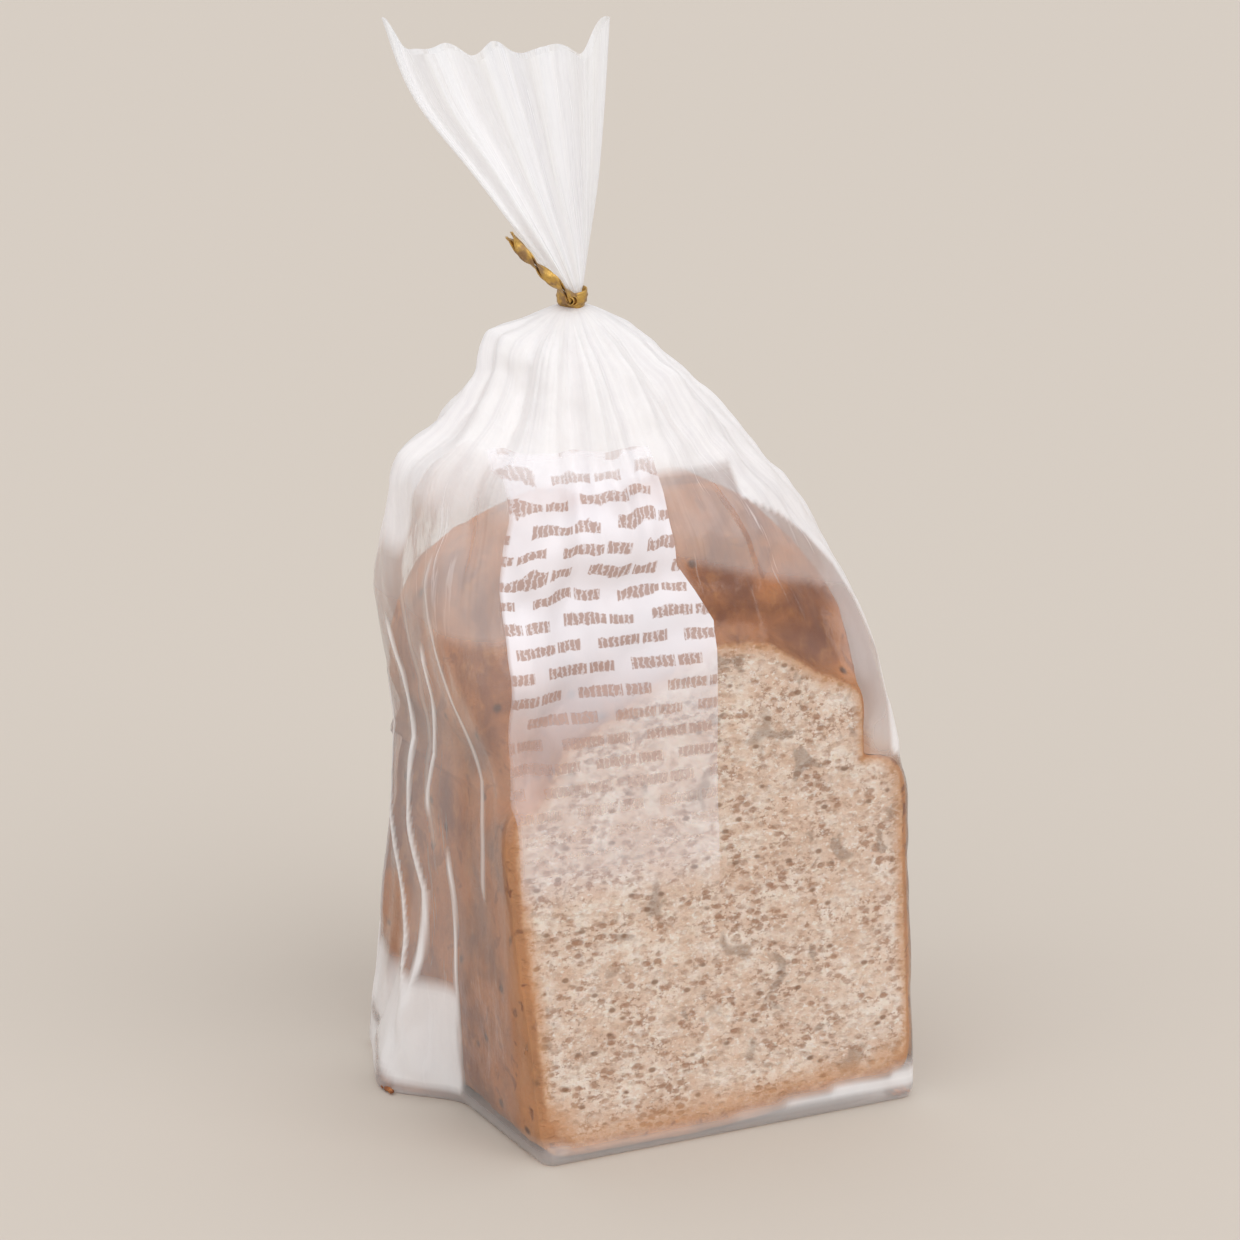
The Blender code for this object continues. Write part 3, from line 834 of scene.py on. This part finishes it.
def tail_film(settings):
    """Loose film above the tie: two gathered sheets that open like a fan."""
    columns, rows = 360, 76
    shares = np.arange(columns) / columns
    f, t = np.meshgrid(shares, np.linspace(0, 1, rows) ** 1.1)
    half_w = lerp(NECK_RADIUS, TAIL_HALF_WIDTH, t ** 0.88)
    half_t = lerp(NECK_RADIUS, 5.2, t ** 0.8)
    x, y = rounded_box(f, half_w, half_t, half_t * 0.98)[:2]
    u = x / half_w
    x = np.where(u < 0, x * (1 + 0.15 * bell(t, 0.74, 0.22)), x)
    facing = np.where(f % 1.0 < 0.25, 1.0, np.where(f % 1.0 < 0.75, -1.0, 1.0))
    common = 3.2 * t ** 0.9 * np.sin(np.pi * 4.5 * u + 0.8)
    own = np.zeros_like(u)
    highlight_crease = np.zeros_like(u)
    maker = np.random.default_rng(5)
    for k in range(26):
        place_, width = maker.uniform(-1, 1), maker.uniform(0.02, 0.07)
        side, depth = maker.choice([-1.0, 1.0]), maker.uniform(-1.5, 1.5)
        reach = maker.uniform(0.0, 0.6)
        shape = bell(u, place_ * (0.9 + 0.1 * t), width) * (facing == side)
        own += depth * shape * smooth((t + 0.15 - reach) / 0.3) * t ** 0.7
        # painted highlight along the ridge of each pleat
        highlight_crease += abs(depth) * bell(u, place_ + width * 0.5, width * 0.3) * (facing == side) * 0.4
    y = y + common + own
    ear = 8.0 * smooth((np.abs(u) - 0.72) / 0.28) + 1.1 * np.cos(4 * np.pi * u) - 1.1
    scallop = 0.7 * np.cos(np.pi * 6 * u + 0.5) * smooth((0.85 - np.abs(u)) / 0.15)
    z = NECK[2] + NECK_HALF + TAIL_HEIGHT * t + (ear + scallop) * t ** 4
    a = np.radians(TAIL_TURN) * smooth(t * 2)
    px, py = x * np.cos(a) - y * np.sin(a), x * np.sin(a) + y * np.cos(a)
    top = np.stack([NECK[0] + TAIL_LEAN[0] * t + px, NECK[1] + TAIL_LEAN[1] * t + py, z], -1)
    # the straight neck under the fan, where the tie sits
    neck = []
    for k in range(5):
        ring = top[0].copy()
        ring[:, 2] = NECK[2] - NECK_HALF - 0.1 + (2 * NECK_HALF + 0.1) * k / 5
        neck.append(ring)
    points = np.concatenate([np.array(neck), top])
    haze = np.full(points.shape[:2], 0.80)
    # whiter film along the pleat ridges: painted highlight
    haze[5:] = np.clip(0.74 + 0.25 * np.clip(highlight_crease, 0, 1) - 0.10 * bell(t, 0.8, 0.3), 0, 0.97)
    tail = sheet_from_grid("bag_tail", points, True, [film_finish(settings)])
    give_round(tail, haze=haze)
    give(tail, "loose", np.full((points.shape[0], columns + 1), 0.95))
    give(tail, "round", np.tile(np.arange(columns + 1) * 1.32, (points.shape[0], 1)))
    weld(tail)
    return tail


def film_finish(look):
    """Clear glossy film, milky where its kept haze says so."""
    known = bpy.data.materials.get("bag_film_finish")
    if known:
        return known
    b = Bench("bag_film_finish")
    haze, loose, round_ = b.kept("haze"), b.kept("loose"), b.kept("round")
    at = b.object_mm((1.0, 1.0, 0.35))
    high = b.add("ShaderNodeSeparateXYZ", None, {0: b.object_mm()}, out="Z")
    along = b.add("ShaderNodeCombineXYZ", None, {"X": round_, "Y": high * 0.07, "Z": high * 0.02})
    wide_streak = b.noise(along, 0.10, 3.0, 0.55)
    thin_streak = b.noise(along, 0.42, 4.0, 0.6)
    fine = b.noise(at, 0.30, 4.0, 0.6)
    # painted highlight: thin streaks where the loose film is drawn whiter
    painted_highlight = thin_streak.ramp(0.60, 0.68) * wide_streak.ramp(0.45, 0.60)
    open_ = wide_streak.ramp(0.28, 0.46, 1.0, 0.0)
    share = haze + painted_highlight * loose * 0.45 - open_ * loose * haze * (1 - haze) * 1.3
    share = share.most(0.02).least(0.98)
    ripple = b.bump(fine * 0.6 + thin_streak * loose * 0.6, 0.4, 0.0012)
    mirror = b.add("ShaderNodeFresnel", None, {"IOR": 1.42, "Normal": ripple})
    clear = b.add("ShaderNodeMixShader", None, {
        0: (mirror * look.gloss).least(0.85),
        1: b.add("ShaderNodeBsdfTransparent", None, {"Color": (0.985, 0.985, 0.99, 1)}),
        2: b.add("ShaderNodeBsdfGlossy", None, {"Color": (1, 1, 1, 1), "Roughness": 0.13,
                                                "Normal": ripple})})
    # painted shade: the milky film darkened in streaks that stand for its folds, with a little
    # noise
    painted_valley_shade = (wide_streak.ramp(0.40, 0.66) * thin_streak.ramp(0.3, 0.7)) * loose
    milk = b.blend((painted_valley_shade + fine.ramp(0.45, 0.75) * 0.25) * 0.5, look.milk, look.painted_fold_shade)
    skin = b.principled(Base_Color=milk, Roughness=0.28, Normal=ripple, Specular_IOR_Level=0.5)
    through = b.add("ShaderNodeBsdfTranslucent", None, {"Color": (0.97, 0.97, 0.98, 1.0)})
    milky = b.add("ShaderNodeMixShader", None, {0: 0.2, 1: skin, 2: through})
    b.done(b.add("ShaderNodeMixShader", None, {0: share, 1: clear, 2: milky}))
    return b.material


# --- the printed band -----------------------------------------------------------
class BREAD_OT_band(bpy.types.Operator):
    """Printed band up the left of the front: pale ink with rows of small brown bars"""
    bl_idname = "bread.band"
    bl_label = "Printed band"

    def execute(self, context):
        settings = context.scene.bread_band
        film = bpy.data.objects["bag_film"]
        tree = BVHTree.FromObject(film, bpy.context.evaluated_depsgraph_get())
        rows, columns = 180, 96
        points = np.zeros((rows, columns, 3))
        across, up = np.zeros((rows, columns)), np.zeros((rows, columns))
        for i in range(rows):
            z = lerp(settings.low, settings.high, i / (rows - 1))
            right = float(np.interp(z, (70, 109, 147, 156, 163, 177, 190, 200),
                                    (3.0, 3.4, 4.6, -0.6, -5.0, -6.4, -7.7, -8.5)))
            left = float(np.interp(z, (70, 120, 160, 200), (-59.2, -60.4, -58.5, -50.0)))
            for j in range(columns):
                share = j / (columns - 1)
                x = lerp(left, right, share)
                start = place((x, -90.0, z))
                hit, normal, _, _ = tree.ray_cast(start, Vector((0, 1, 0)))
                if hit is None:
                    hit, normal = start, Vector((0, -1, 0))
                if normal.y > 0:
                    normal = -normal
                p = (hit + normal * 0.00022) * 1000 - SHIFT
                points[i, j] = p
                across[i, j], up[i, j] = x - left, z
        band = sheet_from_grid("printed_band", points, False, [band_finish(settings)])
        give(band, "across", across)
        give(band, "up", up)
        weld(band)
        if band.data.polygons[rows * 40].normal.y > 0:
            band.data.flip_normals()
        band.visible_shadow = False
        finish_piece(band, "film")
        return {"FINISHED"}


def band_finish(look):
    """Pale see-through ink, thinner towards the foot, with staggered brown bars."""
    b = Bench("band_ink")
    across, up = b.kept("across"), b.kept("up")
    at = b.object_mm()
    wave = (b.noise(at, 0.07, 2.0) - 0.5) * up.ramp(136.0, 164.0) * 9.0
    line = (up + wave) / look.pitch
    row = line.sum("FLOOR")
    high = (line - row - 0.5).size() * look.pitch
    slip = (across + row * 9.7 + 200.0) / look.mark_gap
    place_ = slip.sum("FRACT") * look.mark_gap
    wide = (place_ - look.mark_gap * 0.40).size()
    word = wide.ramp(look.mark_gap * 0.39, look.mark_gap * 0.41, 1.0, 0.0)
    split = (place_ - look.mark_gap * 0.50).size().ramp(0.35, 0.6)
    worn = b.noise(at, 0.8, 2.0)
    tall = (high + worn * 1.4 - 0.7).ramp(1.2, 1.6, 1.0, 0.0)
    ticks = (across * 0.60 + row * 3.1 + worn * 1.5).sum("FRACT")
    ticks = (ticks - 0.5).size().ramp(0.30, 0.42, 1.0, 0.35)
    ink = word * split * tall * ticks * up.ramp(look.low + 12.0, 116.0, 0.0, 1.0)
    body = up.ramp(114.0, 150.0, 0.27, 0.86)
    edges = across.ramp(0.0, 1.2, 0.5, 1.0) * up.ramp(look.low, look.low + 14.0)
    body = body * edges * up.ramp(look.high - 18.0, look.high, 1.0, 0.3)
    colour = b.blend(ink * 0.72, look.ground, look.mark)
    alpha = body.most(ink * 0.70 * up.ramp(look.high - 14.0, look.high, 1.0, 0.0))
    b.done(b.principled(Base_Color=colour, Roughness=0.32, Alpha=alpha))
    return b.material


# --- the tie, crumbs and stage ---------------------------------------------------
class BREAD_OT_tie(bpy.types.Operator):
    """Gold twist tie: ribbon round the neck, knot and two ends twisted together"""
    bl_idname = "bread.tie"
    bl_label = "Twist tie"

    def execute(self, context):
        settings = context.scene.bread_tie
        centre = Vector(NECK)
        side = Vector((-0.485, -0.875, 0)).normalized()
        across = Vector((-side.y, side.x, 0))
        inner = NECK_RADIUS + 0.55
        parts = []
        for turn in range(2):
            rows = []
            for i in range(73):
                a = 2 * math.pi * i / 72
                way = Vector((math.cos(a), math.sin(a), 0))
                wob = 0.25 * math.sin(3 * a + turn * 2.2)
                mid = centre + Vector((0, 0, (turn - 0.5) * 0.9 + 0.5 * math.sin(a + turn)))
                rows.append(ribbon_section(mid + way * (inner + 0.35 + turn * 0.45 + wob * 0.4),
                                           way, Vector((0, 0, 1)), settings.width * 0.52))
            parts.append(np.array(rows))
        knot_at = centre + side * (inner + 1.8)
        for turn in range(2):
            rows = []
            for i in range(49):
                a = 2 * math.pi * i / 48
                way = across * math.cos(a) + Vector((0, 0, 1)) * math.sin(a)
                mid = knot_at + side * (0.45 * turn - 0.2) + way * (1.35 - 0.25 * turn)
                slant = (side + across * (0.3 - 0.6 * turn)).normalized()
                rows.append(ribbon_section(mid, way, slant, settings.width * 0.45))
            parts.append(np.array(rows))
        start, end = knot_at + side * 0.4, knot_at + Vector((-16.6, 6.6, 19.0)) - side * -1.2
        along = (end - start).normalized()
        flat = along.cross(side).normalized()
        up = along.cross(flat)
        for strand in range(2):
            rows = []
            for i in range(97):
                t = i / 96
                a = settings.turns * 2 * math.pi * t + strand * math.pi + 0.6
                wide = flat * math.cos(a) + up * math.sin(a)
                thin = up * math.cos(a) - flat * math.sin(a)
                splay = 0.45 + 0.5 * float(smooth((t - 0.86) / 0.14))
                mid = start.lerp(end, t) + side * 1.6 * math.sin(math.pi * t) + thin * splay
                mid += flat * 0.5 * math.sin(5 * t + 1)
                rows.append(ribbon_section(mid, thin, wide, settings.width * 0.47))
            parts.append(np.array(rows))
        pieces = []
        for k, rows in enumerate(parts):
            obj = sheet_from_grid(f"tie_part_{k}", rows, True, [tie_finish(settings)])
            fill_ends(obj)
            pieces.append(obj)
        tie = joined(pieces, "twist_tie_ribbon")
        weld(tie, recalculate=True)
        finish_piece(tie, "tie", "twist_tie")
        return {"FINISHED"}


def ribbon_section(mid, thin, wide, half):
    """Places round one cut through a ribbon with a round wire down its middle."""
    thin, wide = Vector(thin).normalized(), Vector(wide).normalized()
    ring = []
    for u, h in ((-1, 0.13), (-0.6, 0.15), (-0.3, 0.20), (0, 0.42), (0.3, 0.20), (0.6, 0.15),
                 (1, 0.13)):
        ring.append(mid + wide * half * u + thin * h)
    for u, h in ((1, 0.13), (0.3, 0.17), (0, 0.36), (-0.3, 0.17), (-1, 0.13)):
        ring.append(mid + wide * half * u - thin * h)
    return [tuple(p) for p in ring]


def fill_ends(obj):
    weld(obj)
    bpy.ops.object.mode_set(mode="EDIT")
    bpy.ops.mesh.select_all(action="DESELECT")
    bpy.ops.mesh.select_non_manifold()
    bpy.ops.mesh.fill_holes(sides=0)
    bpy.ops.mesh.select_all(action="SELECT")
    bpy.ops.mesh.normals_make_consistent(inside=False)
    bpy.ops.object.mode_set(mode="OBJECT")


def tie_finish(look):
    """Gold foil on paper, worn to brown along the twist."""
    known = bpy.data.materials.get("gold_tie")
    if known:
        return known
    b = Bench("gold_tie")
    at = b.object_mm()
    wear = b.noise(at, 0.25, 3.0).ramp(0.42, 0.62)
    fine = b.noise(at, 1.6, 3.0)
    colour = b.blend(wear, look.gold, look.worn)
    colour = b.blend(fine.ramp(0.5, 0.8) * 0.4, colour, (0.10, 0.06, 0.03, 1))
    b.done(b.principled(Base_Color=colour, Metallic=wear.ramp(0, 1, 0.85, 0.35),
                        Roughness=fine.ramp(0.3, 0.7, 0.28, 0.48),
                        Normal=b.bump(fine, 0.4, 0.0003)))
    return b.material


class BREAD_OT_crumbs(bpy.types.Operator):
    """Loose crumbs caught in the corners of the bag"""
    bl_idname = "bread.crumbs"
    bl_label = "Crumbs"

    def execute(self, context):
        maker = np.random.default_rng(8)
        spots = []
        for _ in range(26):
            spots.append((maker.uniform(60.5, 65.8), maker.uniform(-52.0, -44.0),
                          maker.uniform(0.7, 2.2), maker.uniform(0.5, 1.1)))
        for _ in range(30):
            t = maker.uniform(0, 1)
            spots.append((lerp(-60.0, -71.5, t) + maker.normal(0, 0.6),
                          lerp(42.0, 14.0, t) + maker.normal(0, 0.8), 1.0,
                          maker.uniform(0.5, 1.2)))
        pieces = []
        for k, (x, y, z, r) in enumerate(spots):
            deselect()
            bpy.ops.mesh.primitive_ico_sphere_add(subdivisions=2, radius=r * 0.001,
                                                  location=place((x, y, z)))
            obj = bpy.context.object
            for v in obj.data.vertices:
                v.co *= 1.0 + 0.35 * rough(v.co.x * 900, v.co.y * 900, v.co.z * 900, 2, float(k))
                v.co.z *= 0.8
            bpy.ops.object.transform_apply(location=True, rotation=True, scale=True)
            pieces.append(obj)
        crumbs = joined(pieces, "loose_crumbs")
        crumbs.data.materials.clear()
        crumbs.data.materials.append(crumb_finish(context.scene.bread_crust))
        bpy.ops.object.shade_smooth()
        finish_piece(crumbs, "film")
        return {"FINISHED"}


def crumb_finish(look):
    b = Bench("loose_crumb")
    at = b.object_mm()
    tone = b.noise(at, 0.7, 3.0)
    colour = b.blend(tone.ramp(0.4, 0.6), look.crust, look.crust_dark)
    b.done(b.principled(Base_Color=colour, Roughness=0.85, Normal=b.bump(tone, 0.6, 0.0005)))
    return b.material


class BREAD_OT_stage(bpy.types.Operator):
    """Pale flat floor, soft white lamps and the camera"""
    bl_idname = "bread.stage"
    bl_label = "Stage"

    def execute(self, context):
        settings = context.scene.bread_stage
        deselect()
        bpy.ops.mesh.primitive_plane_add(size=9.0, location=(0, 0, 0))
        floor = bpy.context.object
        floor.name = "floor"
        b = Bench("pale_floor")
        floor.data.materials.append(b.done(b.principled(Base_Color=rgba(settings.floor),
                                                        Roughness=0.9, Specular_IOR_Level=0.1)))
        for name, way, spread_, power in (("key", (0.30, -0.85, 0.80), 55, settings.key),
                                          ("fill", (-0.95, -0.40, 0.50), 70, settings.fill),
                                          ("top", (0.15, 0.45, 1.0), 60, settings.top)):
            way = Vector(way).normalized()
            bpy.ops.object.light_add(type="SUN", location=way)
            lamp = bpy.context.object
            lamp.name = name
            lamp.data.angle, lamp.data.energy = math.radians(spread_), power
            lamp.data.color = (1, 1, 1)
            lamp.rotation_euler = way.to_track_quat("Z", "Y").to_euler()
        world = bpy.data.worlds.new("studio")
        world.use_nodes = True
        world.node_tree.nodes["Background"].inputs["Color"].default_value = (1, 1, 1, 1)
        world.node_tree.nodes["Background"].inputs["Strength"].default_value = settings.sky
        context.scene.world = world
        aim_camera(context, settings)
        context.scene.view_settings.view_transform = "Standard"
        return {"FINISHED"}


def aim_camera(context, settings):
    azimuth, rise = math.radians(settings.azimuth), math.radians(settings.elevation)
    back = Vector((math.sin(azimuth) * math.cos(rise), -math.cos(azimuth) * math.cos(rise),
                   math.sin(rise)))
    target = place((-6.9, 0.0, 139.4))
    camera = bpy.data.objects.new("camera", bpy.data.cameras.new("camera"))
    context.scene.collection.objects.link(camera)
    camera.location = target + back * settings.distance
    turn = back.to_track_quat("Z", "Y").to_matrix()
    turn = turn @ Matrix.Rotation(math.radians(settings.roll), 3, "Z")
    camera.rotation_euler = turn.to_euler()
    camera.data.lens = settings.lens
    camera.data.sensor_width = 36.0
    context.scene.camera = camera


# --- what a user would change -----------------------------------------------------
def colour_of(name, description, value):
    return FloatVectorProperty(name=name, description=description, subtype="COLOR", size=3,
                               min=0.0, max=1.0, default=value)


def number(name, description, default, **kind):
    return FloatProperty(name=name, description=description, default=default, **kind)


def whole(name, description, default):
    return IntProperty(name=name, description=description, default=default, min=1)


class BreadLoafSettings(bpy.types.PropertyGroup):
    left: number("Left side", "Left side of the loaf at its base, mm", -55.4)
    right: number("Right side", "Right side of the loaf, mm", 66.6)
    flare: number("Flare", "Spread of the left side by the shoulder, mm", 8.0)
    lift: number("Lift", "Rise of the right bottom edge at the cut, mm", 4.5)
    cut_y: number("Cut face", "Y of the cut face at its foot, mm", -52.0)
    lean: number("Lean", "Lean of the cut face, mm per mm", 0.12)
    back_y: number("Back", "Y where the back end starts to round, mm", 46.0)
    round_back: number("Round back", "Fullness of the back end, mm", 6.0)
    bulge: number("Bulge", "Crown's bulge over the cut face, mm", 6.0)
    around: whole("Around", "Points round the loaf", 360)
    crumb_rings: whole("Crumb rings", "Rings on the cut face", 120)
    crust_rings: whole("Crust rings", "Rings along the crust", 80)


class BreadCrustColours(bpy.types.PropertyGroup):
    crumb: colour_of("Crumb", "Cream ground of the crumb", (0.98, 0.88, 0.78))
    # painted sheen of the crumb's glossy cell walls
    crumb_sheen: colour_of("Crumb light", "Glossy cell walls of the crumb", (1.0, 0.94, 0.87))
    crumb_tan: colour_of("Crumb tan", "Clouds in the crumb and torn bread", (0.76, 0.53, 0.38))
    fleck: colour_of("Fleck", "Small flat flecks", (0.40, 0.20, 0.105))
    seed: colour_of("Seed", "Greyish seed patches", (0.32, 0.22, 0.16))
    bran: colour_of("Bran", "Brown bran", (0.25, 0.12, 0.05))
    # painted shade colour in the pores
    pore: colour_of("Pore", "Depth of the pores", (0.45, 0.29, 0.20))
    crust: colour_of("Crust", "Main crust", (0.55, 0.22, 0.07))
    crust_dark: colour_of("Dark crust", "Darker bakes", (0.24, 0.08, 0.028))
    crust_pale: colour_of("Pale crust", "Scuffs and rim", (0.56, 0.25, 0.08))
    rim: colour_of("Rim", "Toasted edge of the crumb", (0.70, 0.36, 0.15))
    # painted shade colour in the crust's pits
    pit_shade: colour_of("Pit", "Dark pits in the crust", (0.06, 0.022, 0.01))


class BreadFilmSettings(bpy.types.PropertyGroup):
    clearance: number("Clearance", "Least gap from film to bread, mm", 0.7)
    fold_depth: number("Fold depth", "Depth of the gathers, mm", 1.9)
    folds: whole("Folds", "Number of main gathers", 24)
    around: whole("Around", "Points round the film", 440)
    gloss: number("Gloss", "Strength of the film's reflections", 1.0)
    milk: colour_of("Milk", "Colour of the film where it is milky", (0.985, 0.98, 0.99))
    # painted shade: colour of the milky film where its folds would be in shade
    painted_fold_shade: colour_of("Milk shade", "Milky film down in its folds", (0.70, 0.69, 0.73))


class BreadBandSettings(bpy.types.PropertyGroup):
    low: number("Foot", "Height where the band fades out, mm", 70.0)
    high: number("Head", "Height where the band fades in, mm", 194.0)
    pitch: number("Row pitch", "Distance between rows of bars, mm", 6.4)
    mark_gap: number("Bar pitch", "Distance between bars in a row, mm", 26.0)
    ground: colour_of("Ground", "Pale ink of the band", (0.93, 0.90, 0.95))
    mark: colour_of("Mark", "Brown ink of the bars", (0.36, 0.17, 0.10))


class BreadTieSettings(bpy.types.PropertyGroup):
    width: number("Width", "Width of the ribbon, mm", 3.4)
    turns: number("Turns", "Twists along the ends", 1.2)
    gold: colour_of("Gold", "Foil", (0.62, 0.38, 0.10))
    worn: colour_of("Worn", "Worn paper", (0.30, 0.17, 0.07))


class BreadStageSettings(bpy.types.PropertyGroup):
    floor: colour_of("Floor", "Colour of the floor", (0.592, 0.534, 0.475))
    key: number("Key", "Strength of the front lamp", 0.95)
    fill: number("Fill", "Strength of the left lamp", 0.62)
    top: number("Top", "Strength of the top lamp", 0.55)
    sky: number("Sky", "Even light from all round", 0.70)
    azimuth: number("Azimuth", "Camera's way round, degrees", -29.0)
    elevation: number("Elevation", "Camera's height, degrees", 16.5)
    roll: number("Roll", "Camera's roll, degrees", 1.6)
    distance: number("Distance", "Camera to loaf", 1.2, unit="LENGTH")
    lens: number("Lens", "Focal length, mm", 122.3)


GROUPS = (("bread_loaf", BreadLoafSettings), ("bread_crust", BreadCrustColours),
          ("bread_film", BreadFilmSettings), ("bread_band", BreadBandSettings),
          ("bread_tie", BreadTieSettings), ("bread_stage", BreadStageSettings))
OPERATORS = (BREAD_OT_loaf, BREAD_OT_film, BREAD_OT_band, BREAD_OT_tie, BREAD_OT_crumbs,
             BREAD_OT_stage)


class BREAD_PT_panel(bpy.types.Panel):
    """Lists the settings and the pieces of the bagged loaf"""
    bl_idname = "BREAD_PT_panel"
    bl_label = "Bagged bread loaf"
    bl_space_type = "VIEW_3D"
    bl_region_type = "UI"
    bl_category = "Bread"

    def draw(self, context):
        for name, group in GROUPS:
            box = self.layout.box()
            for field in group.__annotations__:
                box.prop(getattr(context.scene, name), field)
        for operator in OPERATORS:
            self.layout.operator(operator.bl_idname)


def register():
    for name, group in GROUPS:
        bpy.utils.register_class(group)
        setattr(bpy.types.Scene, name, PointerProperty(type=group))
    for operator in OPERATORS:
        bpy.utils.register_class(operator)
    bpy.utils.register_class(BREAD_PT_panel)


def unregister():
    bpy.utils.unregister_class(BREAD_PT_panel)
    for operator in reversed(OPERATORS):
        bpy.utils.unregister_class(operator)
    for name, group in reversed(GROUPS):
        delattr(bpy.types.Scene, name)
        bpy.utils.unregister_class(group)


def main():
    register()
    bpy.ops.bread.loaf()
    bpy.ops.bread.film()
    bpy.ops.bread.band()
    bpy.ops.bread.tie()
    bpy.ops.bread.crumbs()
    bpy.ops.bread.stage()


if __name__ == "__main__":
    main()
